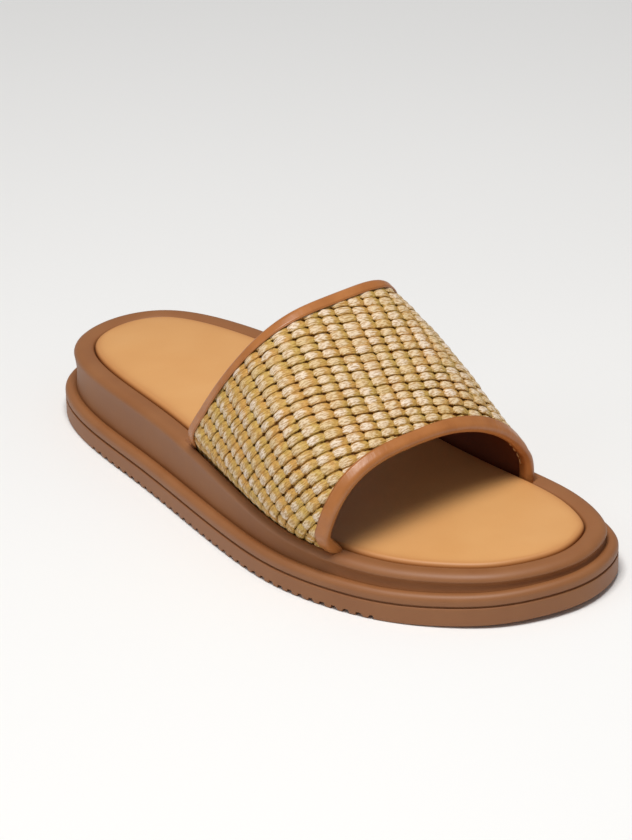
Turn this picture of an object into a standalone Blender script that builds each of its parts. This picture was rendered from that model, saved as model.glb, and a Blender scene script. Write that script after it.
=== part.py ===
"""Flatform slide sandal, right shoe, as separate solids: outsole, midsole, insole, upper and two bindings.

The toe points along -Y, the lateral side lies towards -X and the shoe stands on z = 0. Sizes are in
millimetres and become metres when a mesh is made. A place on the shoe is given by its station, the
distance from the heel tip along the shoe, and its reach, the distance from the heel line towards the
lateral side.
"""

from collections import namedtuple

import bmesh
import bpy
import numpy as np
from mathutils import Matrix

MM = 0.001
CLEARANCE = 0.3

# Sole
SOLE_LENGTH = 262.0
BALL_WIDTH = 106.0
HEEL_RIM_HEIGHT = 29.0
TOE_RIM_HEIGHT = 19.0
TOE_SPRING = 2.0
SPRING_START = 0.82

# Outsole side: a wall, a groove, a bead above it and a flange that stands out below the midsole
OUTSOLE_HEIGHT = 11.9
GROOVE_HEIGHT = 7.6
GROOVE_WIDTH = 0.9
GROOVE_DEPTH = 0.9
TREAD_EDGE = 0.8
BEAD_ROUND = 2.2
EDGE_ROUND = 0.4

# Tread bars across the sole
TREAD_PITCH = 4.85
TREAD_GAP = 2.4
TREAD_DEPTH = 1.5
TREAD_START = 0.18
TREAD_END = 0.82

# Midsole cup
FLANGE_WIDTH = 4.4
RIM_WIDTH = 8.0
RIM_ROUND = 2.6
RIM_OVERHANG = 0.3
WALL_HOLLOW = 0.4
INSOLE_THICKNESS = 4.6

# Insole pad
INSOLE_ROUND = 1.6
INSOLE_PROUD = 0.4
INSOLE_CROWN = 0.7

# Bindings folded round the strap's two edges
BINDING_WIDTH = 5.0
BINDING_WALL = 0.7
BINDING_ROUND = 1.5

# Strap
WALL = 2.2
STRIP_HEIGHT = 0.6
STRIP_ROWS = 18
GIRTH_STEPS = 36
STRAP_HEIGHT = 86.5
STRAP_PUFF = 4.7
STRAP_SINK = 3.9
TUCK_HEIGHT = 14.0
BINDING_FACE = WALL / 2 + CLEARANCE + BINDING_WALL
FOOT_INSET = FLANGE_WIDTH + RIM_WIDTH - CLEARANCE - BINDING_FACE

SAMPLES_PER_SPAN = 5
INSOLE_COLUMNS = 4
LINING_COLUMNS = 6
SLOT_STEPS = 25
SLOT_LEVELS = 3

# Sole sections from heel to toe. station is a share of SOLE_LENGTH, lateral and medial are reaches as
# shares of BALL_WIDTH, and the rises say how far the rim is from its toe height, 0, to its heel height, 1.
Section = namedtuple("Section", "station lateral medial lateral_rise medial_rise")
SOLE_SECTIONS = (
    Section(0.038, 0.220, 0.260, 0.88, 0.88),
    Section(0.153, 0.355, 0.364, 0.98, 1.08),
    Section(0.305, 0.415, 0.392, 1.02, 1.26),
    Section(0.458, 0.479, 0.392, 0.86, 1.12),
    Section(0.611, 0.534, 0.428, 0.36, 0.52),
    Section(0.725, 0.521, 0.475, 0.04, 0.12),
    Section(0.840, 0.429, 0.491, -0.05, 0.02),
    Section(0.931, 0.264, 0.431, -0.03, 0.00),
    Section(0.978, 0.100, 0.320, -0.02, 0.00),
)
Tip = namedtuple("Tip", "station reach rise")
HEEL_TIP = Tip(0.0, -0.025, 0.86)
TOE_TIP = Tip(1.0, -0.123, -0.01)

# The strap's two edges. lateral, crown and medial are stations as shares of SOLE_LENGTH, height is a share
# of STRAP_HEIGHT, and lean, lateral_inset and medial_inset are shares of BALL_WIDTH: how far the crown
# leans to the medial side and how far each side stands inside the outsole. A small square value makes
# that side upright with a tight shoulder, and 1 makes it a plain ellipse.
Edge = namedtuple(
    "Edge", "lateral crown medial height lean lateral_inset medial_inset lateral_square medial_square"
)
REAR_EDGE = Edge(0.410, 0.551, 0.432, 1.00, 0.027, 0.031, 0.028, 0.53, 0.49)
FRONT_EDGE = Edge(0.754, 0.780, 0.782, 0.61, -0.105, 0.010, 0.074, 0.81, 0.78)


def closed_spline(knots):
    """Smooth closed curve through the knots: on each span a cubic whose second slopes agree at the knots."""
    count = len(knots)
    turn = np.eye(count)
    system = 4.0 * turn + np.roll(turn, 1, axis=1) + np.roll(turn, -1, axis=1)
    before, after = np.roll(knots, 1, axis=0), np.roll(knots, -1, axis=0)
    bend = np.linalg.solve(system, 6.0 * (before - 2.0 * knots + after))
    u = (np.arange(SAMPLES_PER_SPAN) / SAMPLES_PER_SPAN)[None, :, None]
    start, end = knots[:, None, :], after[:, None, :]
    start_bend, end_bend = bend[:, None, :], np.roll(bend, -1, axis=0)[:, None, :]
    curve = (1 - u) * start + u * end - u * (1 - u) / 6.0 * ((2 - u) * start_bend + (1 + u) * end_bend)
    return curve.reshape(-1, knots.shape[1])


def sole_outline():
    """Station, reach and rim height round the outsole, from the heel tip along the lateral side."""
    lateral = [(s.station, s.lateral, s.lateral_rise) for s in SOLE_SECTIONS]
    medial = [(s.station, -s.medial, s.medial_rise) for s in reversed(SOLE_SECTIONS)]
    shares = closed_spline(np.array([HEEL_TIP, *lateral, TOE_TIP, *medial]))
    station = shares[:, 0] * SOLE_LENGTH
    reach = shares[:, 1] * BALL_WIDTH
    rim = TOE_RIM_HEIGHT + shares[:, 2] * (HEEL_RIM_HEIGHT - TOE_RIM_HEIGHT)
    return station, reach, rim


STATION, REACH, RIM = sole_outline()
POINTS = len(STATION)
HALF = POINTS // 2
MIDDLE_STATION = (STATION.max() + STATION.min()) / 2
MIDDLE_REACH = (REACH.max() + REACH.min()) / 2


def spring_at(station):
    """Rise of the sole's underside towards the toe tip, growing with the square of the distance."""
    start = SPRING_START * SOLE_LENGTH
    return TOE_SPRING * np.clip((station - start) / (SOLE_LENGTH - start), 0.0, None) ** 2


def inset_line(inset):
    """Station and reach of the outline moved inwards by inset along its own normal."""
    along = np.roll(STATION, -1) - np.roll(STATION, 1)
    across = np.roll(REACH, -1) - np.roll(REACH, 1)
    length = np.hypot(along, across)
    return STATION + across / length * inset, REACH - along / length * inset


def to_row(station, reach, height):
    """Place of a point on the shoe in the part's own frame, still in millimetres."""
    return np.stack([MIDDLE_REACH - reach, MIDDLE_STATION - station, height], axis=-1)


def ring(inset, height):
    """Loop of points round the sole at one inset, at a height that may change along the loop."""
    station, reach = inset_line(inset)
    return to_row(station, reach, np.broadcast_to(height, station.shape))


def spread(lateral, medial, columns, crown):
    """Points across the sole between two sides, raised in the middle by crown."""
    share = (np.arange(1, columns) / columns)[None, :, None]
    grid = lateral[:, None, :] * (1 - share) + medial[:, None, :] * share
    grid[..., 2] += crown * (4 * share * (1 - share))[..., 0]
    return grid


def lid_faces(first, inner, columns):
    """Faces of a lid across a ring: strips between opposite points, with triangles at both tips."""
    def corner(row, column):
        if column == 0:
            return first + row
        if column == columns:
            return first + (POINTS - row) % POINTS
        return inner + (row - 1) * (columns - 1) + column - 1

    faces = []
    for column in range(columns):
        faces.append((first, corner(1, column), corner(1, column + 1)))
        faces.append((corner(HALF - 1, column), first + HALF, corner(HALF - 1, column + 1)))
        for row in range(1, HALF - 1):
            faces.append((corner(row, column), corner(row + 1, column),
                          corner(row + 1, column + 1), corner(row, column + 1)))
    return faces


def loft(rings, columns=1, crown=0.0):
    """Closed solid through rings from its lower lid, out and up to its upper lid of that many columns."""
    points = np.concatenate(rings)
    faces = []
    for level in range(len(rings) - 1):
        low, high = level * POINTS, (level + 1) * POINTS
        for i in range(POINTS):
            j = (i + 1) % POINTS
            faces.append((low + i, low + j, high + j, high + i))
    faces += [face[::-1] for face in lid_faces(0, 0, 1)]
    top = rings[-1]
    rows = np.arange(1, HALF)
    inner = spread(top[rows], top[POINTS - rows], columns, crown).reshape(-1, 3)
    faces += lid_faces((len(rings) - 1) * POINTS, len(points), columns)
    return np.concatenate([points, inner]), faces


def foot_point(inset, station, lateral_side):
    """Reach and rim height on one side of the sole, at an inset and a station."""
    line_station, line_reach = inset_line(inset)
    side = np.arange(HALF + 1) if lateral_side else (POINTS - np.arange(HALF + 1)) % POINTS
    return np.interp(station, line_station[side], line_reach[side]), np.interp(station, STATION[side], RIM[side])


def strap_point(share, turn):
    """Middle of the strap's wall. share runs from the rear edge, 0, to the front edge, 1, and turn from
    the lateral foot, 0, over the crown to the medial foot, pi. The feet follow the sole's outline, tucked
    in below the sides. The arch between them is a rounded square with its crown to one side, its
    shoulders puff out halfway between the edges, and the front edge's own shape comes in late."""
    share, turn = np.broadcast_arrays(share, turn)
    even = [(1 - share) * rear + share * front for rear, front in zip(REAR_EDGE, FRONT_EDGE)]
    late = [(1 - share ** 2) * rear + share ** 2 * front for rear, front in zip(REAR_EDGE, FRONT_EDGE)]
    edge, shape = Edge(*even), Edge(*late)
    lateral_reach, lateral_rim = foot_point(FOOT_INSET, edge.lateral * SOLE_LENGTH, True)
    medial_reach, medial_rim = foot_point(FOOT_INSET, edge.medial * SOLE_LENGTH, False)
    lateral_tuck = FOOT_INSET - edge.lateral_inset * BALL_WIDTH
    medial_tuck = FOOT_INSET - edge.medial_inset * BALL_WIDTH
    lateral_reach = lateral_reach + lateral_tuck
    medial_reach = medial_reach - medial_tuck
    cosine, sine = np.cos(turn), np.clip(np.sin(turn), 0.0, 1.0)
    over = (1 - cosine) / 2
    square = np.where(cosine > 0, shape.lateral_square, shape.medial_square)
    swing = np.sign(cosine) * np.abs(cosine) ** square
    puff = STRAP_PUFF * 4 * share * (1 - share) * np.sin(2 * turn) ** 2
    foot_station = edge.lateral + (edge.medial - edge.lateral) * over
    station = (foot_station + (edge.crown - foot_station) * sine) * SOLE_LENGTH
    foot_height = lateral_rim + (medial_rim - lateral_rim) * over - STRAP_SINK
    rise = (edge.height * STRAP_HEIGHT - foot_height) * sine
    tuck_share = (1 + np.cos(np.pi * np.clip(rise / TUCK_HEIGHT, 0.0, 1.0))) / 2
    tuck = tuck_share * np.where(cosine > 0, lateral_tuck, -medial_tuck)
    reach = (lateral_reach + medial_reach) / 2 + (lateral_reach - medial_reach) / 2 * swing
    reach = reach - shape.lean * BALL_WIDTH * sine ** 2 + puff * cosine - tuck
    return to_row(station, reach, foot_height + rise + puff * sine)


def strap_normal(share, turn):
    """Outward direction of the strap's wall, from two short steps over it."""
    step = 0.002
    along = strap_point(share + step, turn) - strap_point(share - step, turn)
    round_foot = strap_point(share, turn + step) - strap_point(share, turn - step)
    normal = np.cross(along, round_foot)
    return normal / np.linalg.norm(normal, axis=-1, keepdims=True)


def girth_turns(steps):
    """Turns that divide the strap's middle line into equal lengths."""
    fine = np.linspace(0.0, np.pi, 400)
    line = strap_point(0.5, fine)
    walked = np.concatenate([[0.0], np.cumsum(np.linalg.norm(np.diff(line, axis=0), axis=1))])
    return np.interp(np.linspace(0.0, walked[-1], steps + 1), walked, fine)


TURNS = girth_turns(GIRTH_STEPS)
STRAP_WIDTH = np.linalg.norm(strap_point(1.0, TURNS) - strap_point(0.0, TURNS), axis=1)


def strap_offset(from_edge, outward, front):
    """Line over the foot at a distance from the rear or front edge, moved outwards from the wall's middle."""
    share = from_edge / STRAP_WIDTH
    if front:
        share = 1.0 - share
    return strap_point(share, TURNS) + outward * strap_normal(share, TURNS)


def sweep(lines, end_faces=None):
    """Closed solid from lines that run side by side round a section. Each of its two ends gets one face, or
    one face for each row of line numbers in end_faces."""
    points = np.concatenate(lines)
    length = len(lines[0])
    count = len(lines)
    faces = []
    for k in range(count):
        this, other = k * length, (k + 1) % count * length
        for i in range(length - 1):
            faces.append((this + i, this + i + 1, other + i + 1, other + i))
    for end_face in end_faces or [range(count)]:
        faces.append(tuple(k * length for k in end_face))
        faces.append(tuple(k * length + length - 1 for k in reversed(end_face)))
    return points, faces


def mesh_object(name, points, faces, collection):
    """Object at the origin whose mesh holds the points, with its faces turned outwards."""
    mesh = bpy.data.meshes.new(name)
    mesh.from_pydata((points * MM).tolist(), [], faces)
    work = bmesh.new()
    work.from_mesh(mesh)
    bmesh.ops.recalc_face_normals(work, faces=work.faces)
    work.to_mesh(mesh)
    work.free()
    thing = bpy.data.objects.new(name, mesh)
    collection.objects.link(thing)
    return thing


def finish(thing, material, crease=0.7):
    """Give a piece its material and smooth shading, with edges sharper than crease kept sharp."""
    thing.data.materials.append(material)
    thing.data.shade_smooth()
    thing.data.set_sharp_from_angle(angle=crease)


def surface(name, colour, roughness):
    """Principled material of one plain colour."""
    material = bpy.data.materials.new(name)
    material.use_nodes = True
    shader = material.node_tree.nodes["Principled BSDF"]
    shader.inputs["Base Color"].default_value = (*colour, 1.0)
    shader.inputs["Roughness"].default_value = roughness
    shader.inputs["Metallic"].default_value = 0.0
    return material


def cut(thing, cutter):
    """Take the cutter's form out of a piece, and hide the cutter."""
    cutter.hide_render = True
    cutter.display_type = "WIRE"
    modifier = thing.modifiers.new("cut_" + cutter.name, "BOOLEAN")
    modifier.operation = "DIFFERENCE"
    modifier.solver = "EXACT"
    modifier.object = cutter


def make_outsole(parts, cutters):
    """Outsole with a grooved side, a rounded bead under the flange and tread bars across its underside."""
    lift = spring_at(STATION)
    low, high = GROOVE_HEIGHT - GROOVE_WIDTH / 2, GROOVE_HEIGHT + GROOVE_WIDTH / 2
    rings = [
        ring(TREAD_EDGE, lift),
        ring(0.0, lift + TREAD_EDGE),
        ring(0.0, lift + low - GROOVE_WIDTH / 3),
        ring(GROOVE_DEPTH, lift + low),
        ring(GROOVE_DEPTH, lift + high),
        ring(0.0, lift + high + GROOVE_WIDTH / 3),
        ring(0.0, lift + OUTSOLE_HEIGHT - BEAD_ROUND),
        ring(BEAD_ROUND * 0.3, lift + OUTSOLE_HEIGHT - BEAD_ROUND * 0.3),
        ring(BEAD_ROUND, lift + OUTSOLE_HEIGHT),
    ]
    outsole = mesh_object("outsole", *loft(rings), parts)
    cut(outsole, make_tread(cutters))
    return outsole


def make_tread(cutters):
    """One cutter for all the gaps between the tread bars, each a box right across the sole."""
    work = bmesh.new()
    start, end = TREAD_START * SOLE_LENGTH, TREAD_END * SOLE_LENGTH
    gaps = int((end - start) // TREAD_PITCH) + 1
    for k in range(gaps):
        station = start + k * TREAD_PITCH
        depth = 2 * TREAD_DEPTH
        place = Matrix.Translation((0.0, (MIDDLE_STATION - station) * MM, spring_at(station) * MM))
        size = Matrix.Diagonal((1.5 * BALL_WIDTH * MM, TREAD_GAP * MM, depth * MM, 1.0))
        bmesh.ops.create_cube(work, size=1.0, matrix=place @ size)
    mesh = bpy.data.meshes.new("tread_cutter")
    work.to_mesh(mesh)
    work.free()
    cutter = bpy.data.objects.new("tread_cutter", mesh)
    cutters.objects.link(cutter)
    return cutter


def make_midsole(parts, cutters):
    """Cup with a wave-shaped rim: a slightly hollow wall, a rounded rim and a recess for the insole."""
    foot = spring_at(STATION) + OUTSOLE_HEIGHT + CLEARANCE
    wall_height = RIM - RIM_ROUND - foot
    recess = FLANGE_WIDTH + RIM_WIDTH - CLEARANCE
    shoulder = RIM_ROUND * 0.3
    rings = [
        ring(FLANGE_WIDTH + EDGE_ROUND, foot),
        ring(FLANGE_WIDTH, foot + EDGE_ROUND),
        ring(FLANGE_WIDTH + WALL_HOLLOW, foot + wall_height * 0.4),
        ring(FLANGE_WIDTH - RIM_OVERHANG, RIM - RIM_ROUND),
        ring(FLANGE_WIDTH - RIM_OVERHANG + shoulder, RIM - shoulder),
        ring(FLANGE_WIDTH - RIM_OVERHANG + RIM_ROUND, RIM),
        ring(recess - RIM_ROUND * 0.6, RIM),
        ring(recess - EDGE_ROUND / 2, RIM - RIM_ROUND * 0.4),
        ring(recess, RIM - INSOLE_THICKNESS),
    ]
    midsole = mesh_object("midsole", *loft(rings), parts)
    cut(midsole, make_slot("lateral_slot", TURNS[:SLOT_LEVELS], cutters))
    cut(midsole, make_slot("medial_slot", TURNS[::-1][:SLOT_LEVELS], cutters))
    return midsole


def make_slot(name, turns, cutters):
    """Cutter for the slot in the rim that one foot of the strap stands in. Its levels are the strap's own
    turns from the foot upwards, so its sides run along the strap's faces."""
    outward = BINDING_FACE + CLEARANCE
    width = np.linalg.norm(strap_point(1.0, turns[0]) - strap_point(0.0, turns[0]))
    share = np.linspace(-CLEARANCE / width, 1 + CLEARANCE / width, SLOT_STEPS)
    outer = [strap_point(share, turn) + outward * strap_normal(share, turn) for turn in turns]
    inner = [strap_point(share, turn) - outward * strap_normal(share, turn) for turn in turns]
    outer[0][:, 2] -= CLEARANCE
    inner[0][:, 2] -= CLEARANCE
    last = 2 * SLOT_LEVELS - 1
    end_faces = [(level, level + 1, last - level - 1, last - level) for level in range(SLOT_LEVELS - 1)]
    return mesh_object(name, *sweep(outer + inner[::-1], end_faces), cutters)


def make_insole(parts):
    """Padded insole with a rounded edge and a slight crown, seated in the midsole's recess."""
    edge = FLANGE_WIDTH + RIM_WIDTH
    seat = RIM - INSOLE_THICKNESS + CLEARANCE
    top = RIM + INSOLE_PROUD
    shoulder = INSOLE_ROUND * 0.3
    rings = [
        ring(edge + EDGE_ROUND, seat),
        ring(edge, seat + EDGE_ROUND),
        ring(edge, top - INSOLE_ROUND),
        ring(edge + shoulder, top - shoulder),
        ring(edge + INSOLE_ROUND, top),
    ]
    return mesh_object("insole", *loft(rings, INSOLE_COLUMNS, INSOLE_CROWN), parts)


def make_upper(parts):
    """Hollow strap wall: woven strips stand out of its outer face, every second float higher, and its
    inner face is smooth. Its two edges run into the bindings. The strips start clear of them, and they
    run out flat in the rim's slots. Each end is closed piece by piece from the inner face to the outer
    one, so that it follows the curved slot."""
    edge = BINDING_ROUND
    woven = BINDING_WIDTH + STRIP_HEIGHT + CLEARANCE
    lines = [strap_offset(edge, -WALL / 2, False), strap_offset(edge, WALL / 2, False)]
    columns = 2 * STRIP_ROWS
    width = STRAP_WIDTH - 2 * woven
    girth = np.arange(GIRTH_STEPS + 1)
    for column in range(columns + 1):
        float_up = (girth + column // 2) % 2 * 0.5 + 0.5
        float_up[[0, -1]] = 0.0
        raised = STRIP_HEIGHT * float_up if column % 2 else np.zeros(GIRTH_STEPS + 1)
        share = (woven + width * column / columns) / STRAP_WIDTH
        outward = (WALL / 2 + raised)[:, None]
        lines.append(strap_point(share, TURNS) + outward * strap_normal(share, TURNS))
    lines += [strap_offset(edge, WALL / 2, True), strap_offset(edge, -WALL / 2, True)]
    for column in range(LINING_COLUMNS, -1, -1):
        share = (woven + width * column / LINING_COLUMNS) / STRAP_WIDTH
        lines.append(strap_point(share, TURNS) - WALL / 2 * strap_normal(share, TURNS))
    last = len(lines) - 1
    shared = columns // LINING_COLUMNS
    end_faces = [(0, 1, 2, last), (columns + 2, columns + 3, columns + 4, columns + 5)]
    for column in range(LINING_COLUMNS):
        outer = range(2 + shared * column, 3 + shared * (column + 1))
        end_faces.append((last - column, *outer, last - column - 1))
    return mesh_object("upper", *sweep(lines, end_faces), parts)


def make_binding(name, front, parts):
    """Leather strip folded round one edge of the strap: a channel that holds the edge of the wall."""
    bed = WALL / 2 + CLEARANCE
    face = BINDING_FACE
    mouth = BINDING_WIDTH
    back = BINDING_ROUND - CLEARANCE
    half_section = [
        (back, bed),
        (mouth, bed),
        (mouth - BINDING_WALL / 2, face),
        (BINDING_ROUND, face),
        (BINDING_ROUND * 0.3, face * 0.7),
        (0.0, face * 0.2),
    ]
    section = half_section + [(from_edge, -outward) for from_edge, outward in reversed(half_section)]
    lines = [strap_offset(from_edge, outward, front) for from_edge, outward in section]
    return mesh_object(name, *sweep(lines), parts)


def main():
    for thing in list(bpy.data.objects):
        bpy.data.objects.remove(thing, do_unlink=True)
    parts = bpy.data.collections.new("flatform_sandal")
    cutters = bpy.data.collections.new("cutters")
    for collection in (parts, cutters):
        bpy.context.scene.collection.children.link(collection)
    foam = surface("moulded_foam", (0.352, 0.166, 0.078), 0.55)
    lining_leather = surface("insole_leather", (0.716, 0.423, 0.209), 0.5)
    straw = surface("woven_straw", (0.694, 0.503, 0.188), 0.7)
    leather = surface("binding_leather", (0.397, 0.117, 0.028), 0.4)
    finish(make_outsole(parts, cutters), foam)
    finish(make_midsole(parts, cutters), foam)
    finish(make_insole(parts), lining_leather)
    finish(make_upper(parts), straw)
    finish(make_binding("front_binding", True, parts), leather)
    finish(make_binding("rear_binding", False, parts), leather)


main()
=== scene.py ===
"""Looks of a flatform slide sandal, right shoe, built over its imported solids.

Lengths are in millimetres until a mesh is made. A place on the shoe is given by its station, the distance
from the heel tip along the shoe, and its reach, the distance from the heel line to the lateral side. The
sole and strap sizes are those of the solids.
"""
from collections import namedtuple

import bpy
import numpy as np
from mathutils import Matrix, Vector


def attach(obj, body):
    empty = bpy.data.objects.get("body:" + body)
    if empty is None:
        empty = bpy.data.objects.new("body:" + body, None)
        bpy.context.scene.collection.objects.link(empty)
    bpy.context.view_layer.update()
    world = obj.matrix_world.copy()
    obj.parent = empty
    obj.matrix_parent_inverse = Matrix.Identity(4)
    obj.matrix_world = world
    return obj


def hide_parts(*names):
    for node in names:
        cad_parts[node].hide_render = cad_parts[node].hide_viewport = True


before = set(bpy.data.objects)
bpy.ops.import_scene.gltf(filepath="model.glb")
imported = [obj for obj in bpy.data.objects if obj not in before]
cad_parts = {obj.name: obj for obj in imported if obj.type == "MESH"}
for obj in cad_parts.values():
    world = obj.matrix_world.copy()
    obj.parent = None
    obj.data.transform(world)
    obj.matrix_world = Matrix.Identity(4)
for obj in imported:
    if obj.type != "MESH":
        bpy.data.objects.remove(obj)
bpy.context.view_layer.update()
BODY = "root"
MM = 0.001

# Sole
SOLE_LENGTH = 262.0
BALL_WIDTH = 106.0
HEEL_RIM_HEIGHT = 29.0
TOE_RIM_HEIGHT = 19.0
TOE_SPRING = 2.0
SPRING_START = 0.82
OUTSOLE_HEIGHT = 11.9
GROOVE_HEIGHT = 7.6
GROOVE_WIDTH = 0.9
GROOVE_DEPTH = 0.9
TREAD_EDGE = 0.8
BEAD_ROUND = 2.2
FLANGE_WIDTH = 4.4
FLANGE_DIP = 1.3
TREAD_PITCH = 4.85
TREAD_GAP = 2.4
TREAD_DEPTH = 1.5
TREAD_START = 0.18
TREAD_END = 0.82
TREAD_WALL = 0.35
FLANGE_TUCK = 0.9
RIM_WIDTH = 8.0
RIM_ROUND = 2.6
RIM_CREST = 3.4
RIM_FALL = 1.3
RIM_OVERHANG = 0.3
WALL_HOLLOW = 0.6
RECESS_EDGE = 2.2
INSOLE_THICKNESS = 4.6
INSOLE_ROUND = 1.6
INSOLE_PROUD = 0.4
INSOLE_CROWN = 0.7
CROWN_FADE = 35.0
# Painted shade at the insole's edge: its strength at the top of the edge, and the width over which it fades
# inwards
EDGE_SHADE_AT_TOP = 0.4
EDGE_SHADE_WIDTH = 1.6

# Strap
WALL = 2.2
CLEARANCE = 0.3
STRAP_HEIGHT = 86.5
STRAP_PUFF = 4.7
STRAP_SINK = 3.9
TUCK_HEIGHT = 14.0
BINDING_WIDTH = 5.0
BINDING_FACE = 2.1
BINDING_LEATHER = 0.8
FOOT_INSET = 10.0
CREASE_DEPTH = 0.35
SLOT_SIDE = 3.4
SLOT_END = 0.6
SLOT_WALL = 0.25
SLOT_EXTRA = 0.9
LINING_OUTER = -0.55
LINING_EDGE = 1.7
LINING_LEAST = 0.15

# Weave: straw strands run over the foot and float in turn over cords that run from heel to toe
CORD_PITCH = 6.7
CORD_COUNT = 29
CORD_MARGIN = 0.03
CORD_LEVEL = 0.35
CORD_RADIUS = 0.5
CORD_FLATNESS = 2.2
STRAND_PITCH = 1.83
STRAND_COUNT = 50
STRAND_TUCK = 1.6
STRAND_LEVEL = 0.36
STRAND_WAVE = 0.68
STRAND_HALF_THICKNESS = 0.74
DIVE = 0.5
FLOAT_START = 0.16
FLOAT_SLANT = 0.60
FLOAT_HALF_WIDTH = 1.92
UNDER_HALF_WIDTH = 0.75
# Painted highlight: how far before a float's top, in the wave's angle, its pale part lies
HIGHLIGHT_SHIFT = 0.60
HEIGHT_CHANCE = 0.14
WIDTH_CHANCE = 0.2
PLACE_CHANCE = 0.5
MAP_SHIFT = (37.0, 4.1)

# Stitches inside the strap
STITCH_EDGE = 3.7
STITCH_MARGIN = 8.0
STITCH_PITCH = 3.3
STITCH_LENGTH = 2.3
STITCH_BULGE = 0.22
THREAD_RADIUS = 0.28

# Sole: station in sole lengths, reach to each side in ball widths, rim height from the toe's (0) to the
# heel's (1). The tips give one reach and one height.
Section = namedtuple("Section", "station lateral medial lateral_rise medial_rise")
SOLE_SECTIONS = (
    Section(0.038, 0.220, 0.260, 0.88, 0.88),
    Section(0.153, 0.355, 0.364, 0.98, 1.08),
    Section(0.305, 0.415, 0.392, 1.02, 1.26),
    Section(0.458, 0.479, 0.392, 0.86, 1.12),
    Section(0.611, 0.534, 0.428, 0.36, 0.52),
    Section(0.725, 0.521, 0.475, 0.04, 0.12),
    Section(0.840, 0.429, 0.491, -0.05, 0.02),
    Section(0.931, 0.264, 0.431, -0.03, 0.00),
    Section(0.978, 0.100, 0.320, -0.02, 0.00),
)
HEEL_TIP = (0.0, -0.025, 0.86)
TOE_TIP = (1.0, -0.123, -0.01)

# Strap edges: stations of the feet and the crown in sole lengths, height in strap heights, lean and insets
# in ball widths, and the powers of the cosine that square the arch's sides
Edge = namedtuple(
    "Edge", "lateral crown medial height lean lateral_inset medial_inset lateral_square medial_square"
)
REAR_EDGE = Edge(0.410, 0.551, 0.432, 1.00, 0.027, 0.031, 0.028, 0.53, 0.49)
FRONT_EDGE = Edge(0.754, 0.780, 0.782, 0.61, -0.105, 0.010, 0.074, 0.81, 0.78)

# Camera: the photograph's place and its level direction to the right, and the shoe's middle
CAMERA_PLACE = Vector((-0.8643, -1.0397, 0.7189))
CAMERA_RIGHT = Vector((0.7290, -0.6844, 0.0))
CAMERA_TARGET = Vector((0.004, 0.0, 0.030))
CAMERA_LENS = 176.0

# Light: soft square lamps that face the shoe, each with its place and side in metres and its watts
Lamp = namedtuple("Lamp", "name place side power")
LAMPS = (
    Lamp("overhead_softbox", (-0.30, -0.25, 1.44), 0.6, 19.5),
    Lamp("side_softbox", (-1.3, 0.1, 0.8), 0.8, 1.8),
)
LAMP_COLOUR = (1.0, 0.985, 0.965)
WORLD_COLOUR = (0.96, 0.97, 1.0, 1.0)
WORLD_STRENGTH = 0.24
FLOOR_HALF = 4.0

# Creases of the bindings: share of the way over the foot, width in such shares, and depth
REAR_CREASES = ((0.80, 0.012, 0.6), (0.86, 0.010, 0.8), (0.13, 0.012, 0.5))
FRONT_CREASES = ((0.88, 0.015, 0.6), (0.10, 0.012, 0.5))

# Creases of the lining: side, turn up from that side's foot, its gain from rear to front, and depth
LINING_CREASES = (("medial", 0.16, 0.25, 0.5), ("medial", 0.34, 0.10, 0.35), ("lateral", 0.20, 0.20, 0.3))


def closed_spline(knots, samples):
    """Smooth closed curve: on each span a cubic through its two knots, with second slopes that agree."""
    count = len(knots)
    turn = np.eye(count)
    system = 4.0 * turn + np.roll(turn, 1, axis=1) + np.roll(turn, -1, axis=1)
    before, after = np.roll(knots, 1, axis=0), np.roll(knots, -1, axis=0)
    bend = np.linalg.solve(system, 6.0 * (before - 2.0 * knots + after))
    u = (np.arange(samples) / samples)[None, :, None]
    start, end = knots[:, None, :], after[:, None, :]
    start_bend, end_bend = bend[:, None, :], np.roll(bend, -1, axis=0)[:, None, :]
    curve = (1 - u) * start + u * end - u * (1 - u) / 6.0 * ((2 - u) * start_bend + (1 + u) * end_bend)
    return curve.reshape(-1, knots.shape[1])


def sole_outline(samples):
    """Station, reach and rim height round the outsole, from the heel tip along the lateral side."""
    lateral = [(s.station, s.lateral, s.lateral_rise) for s in SOLE_SECTIONS]
    medial = [(s.station, -s.medial, s.medial_rise) for s in reversed(SOLE_SECTIONS)]
    shares = closed_spline(np.array([HEEL_TIP, *lateral, TOE_TIP, *medial]), samples)
    rim = TOE_RIM_HEIGHT + shares[:, 2] * (HEEL_RIM_HEIGHT - TOE_RIM_HEIGHT)
    return shares[:, 0] * SOLE_LENGTH, shares[:, 1] * BALL_WIDTH, rim


STATION, REACH, RIM = sole_outline(60)
POINTS = len(STATION)
HALF = POINTS // 2
MIDDLE_STATION = (STATION.max() + STATION.min()) / 2
MIDDLE_REACH = (REACH.max() + REACH.min()) / 2


def spring_at(station):
    """Rise of the underside towards the toe tip, growing with the square of the distance."""
    start = SPRING_START * SOLE_LENGTH
    return TOE_SPRING * np.clip((station - start) / (SOLE_LENGTH - start), 0.0, None) ** 2


def inset_line(inset):
    """The outline moved inwards by inset along its own normal."""
    along = np.roll(STATION, -3) - np.roll(STATION, 3)
    across = np.roll(REACH, -3) - np.roll(REACH, 3)
    length = np.hypot(along, across)
    return STATION + across / length * inset, REACH - along / length * inset


def to_row(station, reach, height):
    """A point on the shoe in the part's own frame, in millimetres."""
    return np.stack([MIDDLE_REACH - reach, MIDDLE_STATION - station, height], axis=-1)


def station_of(points):
    """Station of points in the part's own frame."""
    return MIDDLE_STATION - points[..., 1]


def ring(inset, height):
    """Loop round the sole at one inset, at a height that may change along the loop."""
    station, reach = inset_line(inset)
    return to_row(station, reach, np.broadcast_to(height, station.shape))


def foot_point(inset, station, lateral_side):
    """Reach and rim height on one side of the sole, at an inset and a station."""
    line_station, line_reach = inset_line(inset)
    side = np.arange(HALF + 1) if lateral_side else (POINTS - np.arange(HALF + 1)) % POINTS
    reach = np.interp(station, line_station[side], line_reach[side])
    return reach, np.interp(station, STATION[side], RIM[side])


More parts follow.
